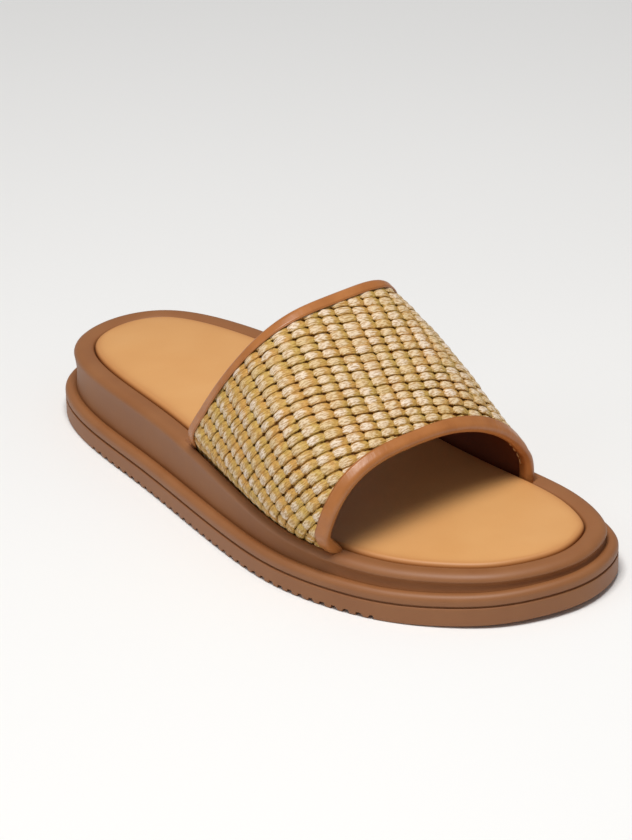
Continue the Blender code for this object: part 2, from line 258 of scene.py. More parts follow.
def strap_point(share, turn):
    """Middle of the strap's wall, the same arch as the solid's. share runs from the rear edge to the front
    edge, and turn from the lateral foot over the crown to the medial foot. Reach follows a power of the
    turn's cosine and height its sine, and both feet are tucked in below the sides."""
    share, turn = np.broadcast_arrays(share, turn)
    even = [(1 - share) * rear + share * front for rear, front in zip(REAR_EDGE, FRONT_EDGE)]
    late = [(1 - share ** 2) * rear + share ** 2 * front for rear, front in zip(REAR_EDGE, FRONT_EDGE)]
    edge, shape = Edge(*even), Edge(*late)
    lateral_reach, lateral_rim = foot_point(FOOT_INSET, edge.lateral * SOLE_LENGTH, True)
    medial_reach, medial_rim = foot_point(FOOT_INSET, edge.medial * SOLE_LENGTH, False)
    lateral_tuck = FOOT_INSET - edge.lateral_inset * BALL_WIDTH
    medial_tuck = FOOT_INSET - edge.medial_inset * BALL_WIDTH
    lateral_reach = lateral_reach + lateral_tuck
    medial_reach = medial_reach - medial_tuck
    cosine, sine = np.cos(turn), np.clip(np.sin(turn), 0.0, 1.0)
    over = (1 - cosine) / 2
    square = np.where(cosine > 0, shape.lateral_square, shape.medial_square)
    swing = np.sign(cosine) * np.abs(cosine) ** square
    puff = STRAP_PUFF * 4 * share * (1 - share) * np.sin(2 * turn) ** 2
    foot_station = edge.lateral + (edge.medial - edge.lateral) * over
    station = (foot_station + (edge.crown - foot_station) * sine) * SOLE_LENGTH
    foot_height = lateral_rim + (medial_rim - lateral_rim) * over - STRAP_SINK
    rise = (edge.height * STRAP_HEIGHT - foot_height) * sine
    tuck_share = (1 + np.cos(np.pi * np.clip(rise / TUCK_HEIGHT, 0.0, 1.0))) / 2
    tuck = tuck_share * np.where(cosine > 0, lateral_tuck, -medial_tuck)
    reach = (lateral_reach + medial_reach) / 2 + (lateral_reach - medial_reach) / 2 * swing
    reach = reach - shape.lean * BALL_WIDTH * sine ** 2 + puff * cosine - tuck
    return to_row(station, reach, foot_height + rise + puff * sine)


def unit(vectors):
    """Vectors scaled to a length of one."""
    return vectors / np.linalg.norm(vectors, axis=-1, keepdims=True)


def strap_normal(share, turn):
    """Outward direction of the strap's wall: the cross product of two short steps over it."""
    step = 0.004
    along = strap_point(share + step, turn) - strap_point(share - step, turn)
    low, high = np.clip(turn - step, 0.0, np.pi), np.clip(turn + step, 0.0, np.pi)
    return unit(np.cross(along, strap_point(share, high) - strap_point(share, low)))


GRID_SHARES = np.linspace(0.0, 1.0, 41)
GRID_TURNS = np.linspace(0.0, np.pi, 361)


def girth_grid():
    """Walked length over the foot at each share and turn of the grid, counted from the crown line."""
    points = strap_point(GRID_SHARES[:, None], GRID_TURNS[None, :])
    steps = np.linalg.norm(np.diff(points, axis=1), axis=2)
    walked = np.concatenate([np.zeros((len(points), 1)), np.cumsum(steps, axis=1)], axis=1)
    return walked - walked[:, len(GRID_TURNS) // 2, None]


GIRTH = girth_grid()


def girth_at(share, turn):
    """Walked length from the crown line at any share and turn, by bilinear interpolation of the grid."""
    row = np.clip(share, 0.0, 1.0) * (len(GRID_SHARES) - 1)
    column = np.clip(turn / np.pi, 0.0, 1.0) * (len(GRID_TURNS) - 1)
    r = np.minimum(row.astype(int), len(GRID_SHARES) - 2)
    c = np.minimum(column.astype(int), len(GRID_TURNS) - 2)
    fr, fc = row - r, column - c
    low = GIRTH[r, c] * (1 - fc) + GIRTH[r, c + 1] * fc
    high = GIRTH[r + 1, c] * (1 - fc) + GIRTH[r + 1, c + 1] * fc
    return low * (1 - fr) + high * fr


def even_turns(count):
    """Turns that divide the strap's middle line into equal lengths."""
    middle = GIRTH[len(GRID_SHARES) // 2]
    return np.interp(np.linspace(middle[0], middle[-1], count), middle, GRID_TURNS)


def strap_width(turn):
    """Straight distance from the rear edge to the front edge at each turn."""
    return np.linalg.norm(strap_point(1.0, turn) - strap_point(0.0, turn), axis=-1)


def soft(x, centre, width):
    """Bell-shaped weight: one at the centre, falling with the square of the distance over the width."""
    return np.exp(-((x - centre) / width) ** 2)


def grid_faces(rows, columns):
    """Quads of a grid of rows by columns that is closed across the columns."""
    r = np.arange(rows - 1)[:, None]
    c = np.arange(columns)[None, :]
    d = (c + 1) % columns
    corners = (r * columns + c, r * columns + d, (r + 1) * columns + d, (r + 1) * columns + c)
    return np.stack(corners, axis=-1).reshape(-1, 4)


def make_piece(name, points, faces, material, slot, along=None, across=None, **marks):
    """Smooth mesh from points in millimetres and its faces, with its map and point attributes."""
    mesh = bpy.data.meshes.new(name)
    mesh.from_pydata((points.reshape(-1, 3) * MM).tolist(), [], faces)
    mesh.update()
    if along is not None:
        corner = np.zeros(len(mesh.loops), dtype=np.int32)
        mesh.loops.foreach_get("vertex_index", corner)
        layer = mesh.uv_layers.new(name="strand")
        pairs = np.stack([along.ravel()[corner], across.ravel()[corner]], axis=1)
        layer.data.foreach_set("uv", pairs.astype(np.float32).ravel())
    for key, values in marks.items():
        attribute = mesh.attributes.new(key, "FLOAT", "POINT")
        attribute.data.foreach_set("value", values.astype(np.float32).ravel())
    mesh.shade_smooth()
    mesh.materials.append(material)
    piece = bpy.data.objects.new(name, mesh)
    bpy.context.scene.collection.objects.link(piece)
    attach(piece, BODY)
    return piece


def lid_points(loop, columns, crown):
    """Points between opposite places of a loop, in even shares, lifted in the middle by a parabola that
    fades out where the loop narrows to its tips."""
    rows = np.arange(1, HALF)
    share = (np.arange(1, columns) / columns)[None, :, None]
    lateral, medial = loop[rows][:, None, :], loop[POINTS - rows][:, None, :]
    points = lateral * (1 - share) + medial * share
    fullness = 1 - np.exp(-(np.linalg.norm(lateral - medial, axis=-1) / CROWN_FADE) ** 2)
    points[..., 2] += crown * (4 * share * (1 - share))[..., 0] * fullness
    return points


def lid_faces(first, inner, columns):
    """Faces of a lid over a loop: rows of quads between its two sides, and a fan at each tip."""
    rows = np.arange(1, HALF)
    inside = inner + np.arange((HALF - 1) * (columns - 1)).reshape(HALF - 1, columns - 1)
    grid = np.concatenate([(first + rows)[:, None], inside, (first + POINTS - rows)[:, None]], axis=1)
    quads = np.stack([grid[:-1, :-1], grid[1:, :-1], grid[1:, 1:], grid[:-1, 1:]], axis=-1).reshape(-1, 4)
    heel = [(first, a, b) for a, b in zip(grid[0, :-1].tolist(), grid[0, 1:].tolist())]
    toe = [(a, first + HALF, b) for a, b in zip(grid[-1, :-1].tolist(), grid[-1, 1:].tolist())]
    return quads, heel + toe


def sole_piece(name, rings, low_columns, high_columns, crown, material, slot, shape_low=None, **marks):
    """Closed body through rings round the sole, with a lower lid and an upper lid of even columns."""
    rings = np.stack(rings)
    count = len(rings)
    low = lid_points(rings[0], low_columns, 0.0)
    if shape_low is not None:
        low = shape_low(low)
    high = lid_points(rings[-1], high_columns, crown)
    points = np.concatenate([rings.reshape(-1, 3), low.reshape(-1, 3), high.reshape(-1, 3)])
    low_start = count * POINTS
    high_start = low_start + low.shape[0] * low.shape[1]
    low_quads, low_tips = lid_faces(0, low_start, low_columns)
    high_quads, high_tips = lid_faces((count - 1) * POINTS, high_start, high_columns)
    faces = grid_faces(count, POINTS).tolist()
    faces += low_quads[:, ::-1].tolist() + [face[::-1] for face in low_tips]
    faces += high_quads.tolist() + high_tips
    return make_piece(name, points, faces, material, slot, **marks)


def tread_lift(station):
    """Height of the gaps between the tread bars: a trapezoid wave of the station."""
    start, end = TREAD_START * SOLE_LENGTH, TREAD_END * SOLE_LENGTH
    phase = np.mod(station - start + TREAD_PITCH / 2, TREAD_PITCH) - TREAD_PITCH / 2
    open_part = np.clip((TREAD_GAP / 2 - np.abs(phase)) / TREAD_WALL + 0.5, 0.0, 1.0)
    inside = (station > start - TREAD_GAP) & (station < end + TREAD_GAP)
    return TREAD_DEPTH * open_part * inside


def make_outsole(material):
    """Tread edge, upright wall, groove, rounded bead and a flange that dips to meet the midsole."""
    lift = spring_at(STATION)
    notch = tread_lift(STATION)
    low, high = GROOVE_HEIGHT - GROOVE_WIDTH / 2, GROOVE_HEIGHT + GROOVE_WIDTH / 2
    lip = GROOVE_WIDTH / 3
    taper = lip / 3
    notch_ease = 0.15
    rings = [ring(TREAD_EDGE, lift + notch)]
    for a in np.radians([30, 60, 90]):
        rise = TREAD_EDGE * (1 - np.cos(a))
        rings.append(ring(TREAD_EDGE * (1 - np.sin(a)), lift + np.maximum(rise, notch + notch_ease * rise)))
    rings.append(ring(0.0, lift + TREAD_DEPTH + lip))
    for height in np.linspace(TREAD_DEPTH + TREAD_EDGE, low - lip, 6):
        rings.append(ring(0.0, lift + height))
    for a in np.radians([30, 60, 90]):
        rings.append(ring(lip * (1 - np.cos(a)), lift + low - lip + lip * np.sin(a)))
    rings.append(ring(GROOVE_DEPTH, lift + low + taper))
    rings.append(ring(GROOVE_DEPTH, lift + high - taper))
    for a in np.radians([90, 60, 30, 0]):
        rings.append(ring(lip * (1 - np.cos(a)), lift + high + lip - lip * np.sin(a)))
    for a in np.radians(np.linspace(0, 90, 9)):
        height = OUTSOLE_HEIGHT - BEAD_ROUND * (1 - np.sin(a))
        rings.append(ring(BEAD_ROUND * (1 - np.cos(a)), lift + height))
    for share in np.linspace(0.15, 1.0, 6):
        inset = BEAD_ROUND + (FLANGE_WIDTH + FLANGE_TUCK - BEAD_ROUND) * share
        rings.append(ring(inset, lift + OUTSOLE_HEIGHT - FLANGE_DIP * share ** 2))

    def tread(points):
        points[..., 2] = spring_at(station_of(points)) + tread_lift(station_of(points))
        return points

    outsole = sole_piece("outsole_moulding", rings, 12, 2, 0.0, material, "sole_rubber", shape_low=tread)
    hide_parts("outsole")


def strap_slot(inset):
    """Depth of the slots in the rim that the strap's two feet stand in, along the loop at an inset. They
    run from SLOT_SIDE outside the strap's foot to the insole's recess."""
    across = np.clip((inset - FOOT_INSET + SLOT_SIDE) / SLOT_WALL, 0.0, 1.0)
    lateral = np.arange(POINTS) <= HALF
    rear = np.where(lateral, REAR_EDGE.lateral, REAR_EDGE.medial) * SOLE_LENGTH - SLOT_END
    front = np.where(lateral, FRONT_EDGE.lateral, FRONT_EDGE.medial) * SOLE_LENGTH + SLOT_END
    return (STRAP_SINK + SLOT_EXTRA) * across * ((STATION > rear) & (STATION < front))


def make_midsole(material):
    """Slightly hollow wall, a rim rounded by two quarter ellipses and a recess for the insole."""
    foot = spring_at(STATION) + OUTSOLE_HEIGHT - FLANGE_DIP
    top = RIM - RIM_ROUND
    start = FLANGE_WIDTH - RIM_OVERHANG
    crest = start + RIM_CREST
    recess = FLANGE_WIDTH + RIM_WIDTH - CLEARANCE
    wall_foot = foot + 0.6
    rings = [ring(FLANGE_WIDTH + 0.7, foot), ring(FLANGE_WIDTH + 0.2, foot + 0.2)]
    for share in np.linspace(0.0, 1.0, 12):
        inset = FLANGE_WIDTH - RIM_OVERHANG * share + WALL_HOLLOW * 4 * share * (1 - share)
        rings.append(ring(inset, wall_foot + (top - wall_foot) * share))
    for a in np.radians(np.linspace(8, 90, 10)):
        inset = start + RIM_CREST * (1 - np.cos(a))
        rings.append(ring(inset, top + RIM_ROUND * np.sin(a) - strap_slot(inset)))
    step = 0.3
    inner = recess - step
    for inset in np.linspace(crest + step, inner, 14):
        fall = (inset - crest) / (inner - crest)
        height = RIM - RIM_FALL * (1 - np.sqrt(np.clip(1 - fall ** 2, 0.0, 1.0)))
        rings.append(ring(inset, height - strap_slot(inset)))
    to_floor = INSOLE_THICKNESS - RECESS_EDGE - 0.1
    rings.append(ring(recess, RIM - RECESS_EDGE - np.minimum(strap_slot(recess), to_floor)))
    rings.append(ring(recess, RIM - INSOLE_THICKNESS))
    midsole = sole_piece("midsole_moulding", rings, 2, 2, 0.0, material, "sole_rubber")
    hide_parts("midsole")


def make_insole(material):
    """Padded insole with a quarter-round edge and a slight crown. Its edge mark is painted shade, a darker
    leather
    colour: full at the foot of the edge, EDGE_SHADE_AT_TOP at the top, and fading inwards over
    EDGE_SHADE_WIDTH."""
    edge = FLANGE_WIDTH + RIM_WIDTH
    seat = RIM - INSOLE_THICKNESS + CLEARANCE
    top = RIM + INSOLE_PROUD
    columns = 60
    corner = 0.4
    rings = [ring(edge + corner, seat), ring(edge, seat + corner), ring(edge, top - INSOLE_ROUND - corner)]
    below = len(rings)
    turns = np.radians(np.linspace(0, 90, 9))
    for a in turns:
        rings.append(ring(edge + INSOLE_ROUND * (1 - np.cos(a)), top - INSOLE_ROUND * (1 - np.sin(a))))
    loop = rings[-1]
    rows = np.arange(1, HALF)
    across = 2 * np.arange(1, columns) / columns - 1
    width = np.linalg.norm(loop[rows] - loop[POINTS - rows], axis=1)
    from_side = (1 - np.abs(across))[None, :] * width[:, None] / 2
    place = station_of(lid_points(loop, columns, 0.0))
    from_tip = np.minimum(place - station_of(loop).min(), station_of(loop).max() - place)
    from_edge = np.clip(np.minimum(from_side, from_tip), 0.0, None)
    # Painted shade: full at the foot of the edge, weaker up its rounding, and fading inwards over the top
    top_marks = EDGE_SHADE_AT_TOP * np.exp(-from_edge / EDGE_SHADE_WIDTH)
    edge_marks = np.concatenate([np.ones(below), 1 - (1 - EDGE_SHADE_AT_TOP) * np.sin(turns)])
    burnish = np.concatenate([np.repeat(edge_marks, POINTS), np.ones(HALF - 1), top_marks.ravel()])
    insole = sole_piece("insole_pad", rings, 2, columns, INSOLE_CROWN, material, "insole_leather",
                        burnish=burnish)
    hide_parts("insole")


def sweep_faces(lines, length):
    """Faces of a closed section of lines carried along a path, with a face over each end."""
    faces = grid_faces(length, lines).tolist()
    faces.append(list(range(lines))[::-1])
    faces.append([(length - 1) * lines + k for k in range(lines)])
    return faces


def binding_section():
    """Folded leather strip, by distance from the strap's edge and outwards from its wall: an outer arc and
    legs, rounded leg ends and the same path back inside."""
    nose = np.radians(np.linspace(90, 270, 15))
    tip = BINDING_LEATHER / 2
    inner = BINDING_FACE - BINDING_LEATHER
    leg = np.linspace(BINDING_WIDTH - tip, BINDING_FACE + tip, 5)
    flat = np.ones_like(leg)
    outer_line = [leg, BINDING_FACE + BINDING_FACE * np.cos(nose), leg[::-1]]
    outer_out = [BINDING_FACE * flat, BINDING_FACE * np.sin(nose), -BINDING_FACE * flat]
    inner_line = [leg, BINDING_FACE + inner * np.cos(nose), leg[::-1]]
    inner_out = [-inner * flat, -inner * np.sin(nose), inner * flat]
    turn = np.radians([120, 150, 180, 210, 240])
    low_tip = BINDING_WIDTH - tip - tip * np.cos(turn)
    low_out = -(BINDING_FACE - tip) - tip * np.sin(turn)
    x = np.concatenate(outer_line + [low_tip] + inner_line + [low_tip])
    y = np.concatenate(outer_out + [low_out] + inner_out + [-low_out])
    return x, y


def make_binding(name, node, front, creases, material):
    """Leather folded round one edge of the strap, with soft creases and a slight unevenness: three sines
    of the way over the foot for its height and one for its width."""
    count = 300
    x, y = binding_section()
    way = np.linspace(0.0, 1.0, count)[:, None]
    pinch = sum(depth * soft(way, place, width) for place, width, depth in creases)
    wander = 0.10 * np.sin(31 * way + 1.3) + 0.07 * np.sin(67 * way + x * 0.5)
    wander = wander + 0.05 * np.sin(113 * way)
    outward = y * (1 + (wander - pinch) * CREASE_DEPTH / BINDING_FACE)
    from_edge = x * (1 + 0.015 * np.sin(23 * way))
    turns = even_turns(count)[:, None]
    share = from_edge / strap_width(turns)
    share = 1.0 - share if front else share
    points = strap_point(share, turns) + outward[..., None] * strap_normal(share, turns)
    girth = girth_at(share, np.broadcast_to(turns, share.shape))
    faces = sweep_faces(len(x), count)
    piece = make_piece(name, points, faces, material, "binding_leather", girth, from_edge)
    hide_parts(node)


def make_lining(material):
    """Lining and backing of the strap as one thin wall, with a few soft creases low on both sides."""
    count, columns = 220, 48
    turns = even_turns(count)[:, None]
    width = strap_width(turns)
    share = (LINING_EDGE + (width - 2 * LINING_EDGE) * np.linspace(0.0, 1.0, columns)) / width
    crease = np.zeros_like(share)
    for side, start, gain, depth in LINING_CREASES:
        from_foot = turns if side == "lateral" else np.pi - turns
        crease = crease + depth * soft(from_foot, start + gain * share, 0.05)
    inner = -WALL / 2 + crease * np.sin(np.pi * share) ** 2
    inner = np.minimum(inner, LINING_OUTER - LINING_LEAST)
    normal = strap_normal(share, turns)
    middle = strap_point(share, turns)
    sheet = np.concatenate([middle + LINING_OUTER * normal,
                            (middle + inner[..., None] * normal)[:, ::-1]], axis=1)
    girth = girth_at(share, np.broadcast_to(turns, share.shape))
    along = np.concatenate([girth, girth[:, ::-1]], axis=1)
    across = np.concatenate([share * width, (share * width)[:, ::-1]], axis=1)
    face_out = np.concatenate([np.ones_like(girth), np.zeros_like(girth)], axis=1)
    faces = sweep_faces(2 * columns, count)
    make_piece("strap_lining", sheet, faces, material, "woven_straw", along, across, backing=face_out)


def tubes(centre, up, half_width, half_thickness, sides):
    """Flat oval tubes: each ring is the centre plus a sideways and an upward ellipse axis."""
    tangent = unit(np.gradient(centre, axis=1))
    sideways = unit(np.cross(up, tangent))
    upward = np.cross(tangent, sideways)
    angle = 2 * np.pi * np.arange(sides) / sides
    wide = half_width[..., None, None] * np.cos(angle)[:, None] * sideways[:, :, None, :]
    thick = half_thickness[..., None, None] * np.sin(angle)[:, None] * upward[:, :, None, :]
    return centre[:, :, None, :] + wide + thick, angle


def tube_faces(count, length, sides):
    """Faces of many tubes of one length, each closed by a face at both ends."""
    one = grid_faces(length, sides)
    starts = np.arange(count) * length * sides
    faces = (starts[:, None, None] + one[None]).reshape(-1, 4).tolist()
    near = starts[:, None] + np.arange(sides)[::-1]
    far = starts[:, None] + (length - 1) * sides + np.arange(sides)
    return faces + near.tolist() + far.tolist()


def make_strands(material):
    """Straw strands over the foot. A strand's height is the cosine of its walked length over the cord
    pitch, odd strands half a wave later. Its width follows the cosine squared off, the more so the smaller
    DIVE is, which leaves a hole at each end of a float. The sine times FLOAT_SLANT moves it sideways, so
    the floats slant as in twining. Height, width, place and dye vary by chance from float to float. A
    painted highlight makes the part of each float that lies HIGHLIGHT_SHIFT of the wave's angle before its
    top pale, most on the strand's upper side, and painted shade makes a strand brown where it dips. At the
    bindings a strand lies flat. MAP_SHIFT moves the fibres' map from strand to strand, along and across."""
    rng = np.random.default_rng(5)
    length, sides = 245, 8
    turns = even_turns(length)[None, :]
    number = np.arange(STRAND_COUNT)[:, None]
    width = strap_width(turns)
    place = (number - (STRAND_COUNT - 1) / 2) * STRAND_PITCH
    open_half = width / 2 - BINDING_WIDTH
    limit = open_half + STRAND_TUCK
    hidden = np.clip((np.abs(place) - limit) / 1.2, 0.0, 1.0)
    place = np.clip(place, -limit, limit)
    share = 0.5 + place / width
    girth = girth_at(share, np.broadcast_to(turns, share.shape))
    waves = girth / CORD_PITCH - number
    cosine = np.cos(np.pi * waves)
    squared = cosine * np.sqrt((1 + DIVE) / (cosine ** 2 + DIVE))
    swell = np.clip((squared + FLOAT_START) / (1 - FLOAT_START), 0.0, 1.0)
    swell = swell ** 2 * (3 - 2 * swell)
    floats = 90
    on_float = np.round(waves / 2).astype(int) + floats // 2
    chance = rng.random((4, STRAND_COUNT, floats))[:, number, on_float]
    near_edge = np.clip((open_half + 0.4 - np.abs(place)) / STRAND_TUCK, 0.0, 1.0)
    strength = (0.35 + 0.65 * near_edge) * (STRAND_WAVE + HEIGHT_CHANCE * (chance[0] - 0.5))
    height = STRAND_LEVEL + strength * cosine - 0.5 * hidden
    bulge = (1 + cosine) / 2
    half_width = UNDER_HALF_WIDTH + (FLOAT_HALF_WIDTH - UNDER_HALF_WIDTH) * swell
    half_width = half_width * (1 + WIDTH_CHANCE * (chance[1] - 0.5)) * (1 - 0.5 * hidden)
    half_thickness = STRAND_HALF_THICKNESS * (0.55 + 0.45 * bulge) * (1 - 0.4 * hidden)
    sideways = FLOAT_SLANT * np.sin(np.pi * waves) + PLACE_CHANCE * (chance[2] - 0.5) * swell
    share = share + sideways / width
    normal = strap_normal(share, np.broadcast_to(turns, share.shape))
    centre = strap_point(share, turns) + height[..., None] * normal
    points, angle = tubes(centre, normal, half_width, half_thickness, sides)
    shade = 0.7 * chance[3] + 0.3 * rng.random(STRAND_COUNT)[:, None]
    spread = np.ones(sides)
    along = (girth + MAP_SHIFT[0] * number)[..., None] * spread
    across = half_width[..., None] * np.cos(angle) + MAP_SHIFT[1] * number[..., None]
    # Painted highlight: pale a little before each float's top, most on the strand's upper side
    pale = (1 + np.cos(np.pi * waves + HIGHLIGHT_SHIFT)) / 2
    crest = pale[..., None] * (0.55 + 0.45 * np.sin(angle))
    # Painted shade: high where a strand dips under, to make it brown there
    sunk = np.clip(0.8 - 2.2 * bulge, 0.0, 0.8)[..., None] * spread
    faces = tube_faces(STRAND_COUNT, length, sides)
    piece = make_piece("straw_strands", points, faces, material, "woven_straw", along, across,
                       shade=shade[..., None] * spread, crest=crest, sunk=sunk)
    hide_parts("upper")


def make_cords(material):
    """Cords from the rear edge to the front edge under the strands, at even walked lengths."""
    length, sides = 80, 6
    number = np.arange(CORD_COUNT) - CORD_COUNT // 2
    share_line = np.linspace(CORD_MARGIN, 1 - CORD_MARGIN, length)
    turn_rows = np.stack([np.interp(number * CORD_PITCH, girths, GRID_TURNS) for girths in GIRTH])
    row = share_line * (len(GRID_SHARES) - 1)
    low = np.minimum(row.astype(int), len(GRID_SHARES) - 2)
    part = (row - low)[:, None]
    turns = (turn_rows[low] * (1 - part) + turn_rows[low + 1] * part).T
    share = np.broadcast_to(share_line, turns.shape)
    normal = strap_normal(share, turns)
    centre = strap_point(share, turns) + CORD_LEVEL * normal
    radius = np.full(turns.shape, CORD_RADIUS)
    points, angle = tubes(centre, normal, radius * CORD_FLATNESS, radius, sides)
    strap_length = 80.0
    along = (share * strap_length)[..., None] * np.ones(sides)
    across = np.broadcast_to(np.cos(angle), along.shape)
    faces = tube_faces(CORD_COUNT, length, sides)
    # The cords carry no painted highlight: their crest mark is zero.
    make_piece("straw_cords", points, faces, material, "woven_straw", along, across,
               shade=np.full(along.shape, 0.3), crest=np.zeros(along.shape))


def make_stitches(material):
    """Two rows of stitches inside the strap: short rounded tubes that dip into the leather at both ends."""
    sides, length = 6, 7
    arc = np.sin(np.pi * np.linspace(0.0, 1.0, length))[None, :, None]
    radius = THREAD_RADIUS * np.sin(np.pi * np.linspace(0.08, 0.92, length)) ** 0.4
    centres = []
    normals = []
    for front in (False, True):
        row = GIRTH[-1] if front else GIRTH[0]
        count = int((row[-1] - row[0] - 2 * STITCH_MARGIN) // STITCH_PITCH)
        start = row[0] + STITCH_MARGIN + STITCH_PITCH * np.arange(count)[:, None]
        walked = start + STITCH_LENGTH * np.linspace(0.0, 1.0, length)[None, :]
        turns = np.interp(walked, row, GRID_TURNS)
        share = STITCH_EDGE / strap_width(turns)
        share = 1.0 - share if front else share
        normal = strap_normal(share, turns)
        centres.append(strap_point(share, turns) - (BINDING_FACE + STITCH_BULGE * arc) * normal)
        normals.append(normal)
    centre, normal = np.concatenate(centres), np.concatenate(normals)
    thin = np.broadcast_to(radius, centre.shape[:2])
    points, _ = tubes(centre, normal, thin, thin, sides)
    faces = tube_faces(len(centre), length, sides)
    make_piece("lining_stitches", points, faces, material, "binding_leather")


def linear(code):
    """Linear colour of an sRGB hex code."""
    value = np.array([int(code[k:k + 2], 16) for k in (0, 2, 4)]) / 255
    value = np.where(value <= 0.04045, value / 12.92, ((value + 0.055) / 1.055) ** 2.4)
    return (*value.tolist(), 1.0)


def node(tree, kind, inputs=None, **settings):
    """Add one node: settings are its properties, and each input is a value or a socket to link. Where a
    node mixes colours, input 0 is the factor, 6 and 7 are the two colours and output 2 is the result."""
    made = tree.nodes.new(kind)
    for key, value in settings.items():
        setattr(made, key, value)
    for key, value in (inputs or {}).items():
        if isinstance(value, bpy.types.NodeSocket):
            tree.links.new(value, made.inputs[key])
        else:
            made.inputs[key].default_value = value
    return made


def new_material(name):
    """A material with its node tree and its shader."""
    material = bpy.data.materials.new(name)
    material.use_nodes = True
    return material, material.node_tree, material.node_tree.nodes["Principled BSDF"]


def per_mm(size):
    """Scale of a texture on Object coordinates whose pattern repeats about every size millimetres."""
    return 1.0 / (size * MM)


def moulded_eva():
    """Injection-moulded EVA foam: matt, with a soft sheen, faint clouding and a fine sparked grain."""
    material, tree, shader = new_material("injection_moulded_eva")
    place = node(tree, "ShaderNodeTexCoord").outputs["Object"]
    cloud = node(tree, "ShaderNodeTexNoise", {"Vector": place, "Scale": per_mm(17), "Detail": 3.0})
    grain = node(tree, "ShaderNodeTexNoise", {"Vector": place, "Scale": per_mm(0.55), "Detail": 2.0})
    colour = node(tree, "ShaderNodeMix", {0: cloud.outputs["Fac"], 6: linear("8A552D"), 7: linear("9B673D")},
                  data_type="RGBA")
    gloss = node(tree, "ShaderNodeMapRange", {"Value": cloud.outputs["Fac"], "To Min": 0.46, "To Max": 0.60})
    bump = node(tree, "ShaderNodeBump", {"Height": grain.outputs["Fac"], "Strength": 0.25,
                                         "Distance": 0.00012})
    tree.links.new(colour.outputs[2], shader.inputs["Base Color"])
    tree.links.new(gloss.outputs["Result"], shader.inputs["Roughness"])
    tree.links.new(bump.outputs["Normal"], shader.inputs["Normal"])
    return material


def insole_leather():
    """Vegetable-tanned leather over foam: pale tan, fine pores, softly satin, with painted shade on its
    turned edge.
    """
    material, tree, shader = new_material("vegetable_tanned_leather")
    place = node(tree, "ShaderNodeTexCoord").outputs["Object"]
    cloud = node(tree, "ShaderNodeTexNoise", {"Vector": place, "Scale": per_mm(28), "Detail": 4.0})
    pores = node(tree, "ShaderNodeTexVoronoi", {"Vector": place, "Scale": per_mm(0.75)})
    rumple = node(tree, "ShaderNodeTexNoise", {"Vector": place, "Scale": per_mm(22), "Detail": 2.0})
    # Painted shade: the edge mark darkens the leather to B4713A where the insole's edge meets the rim.
    edge = node(tree, "ShaderNodeAttribute", attribute_name="burnish")
    flat = node(tree, "ShaderNodeMix", {0: cloud.outputs["Fac"], 6: linear("D39657"), 7: linear("DFA96C")},
                data_type="RGBA")
    edge_shaded = node(tree, "ShaderNodeMix", {0: edge.outputs["Fac"], 6: flat.outputs[2], 7: linear("B4713A")},
                data_type="RGBA")
    fine = node(tree, "ShaderNodeBump", {"Height": pores.outputs["Distance"], "Strength": 0.18,
                                         "Distance": 0.00008})
    bump = node(tree, "ShaderNodeBump", {"Height": rumple.outputs["Fac"], "Strength": 0.5,
                                         "Distance": 0.0012, "Normal": fine.outputs["Normal"]})
    tree.links.new(edge_shaded.outputs[2], shader.inputs["Base Color"])
    tree.links.new(bump.outputs["Normal"], shader.inputs["Normal"])
    shader.inputs["Roughness"].default_value = 0.50
    return material


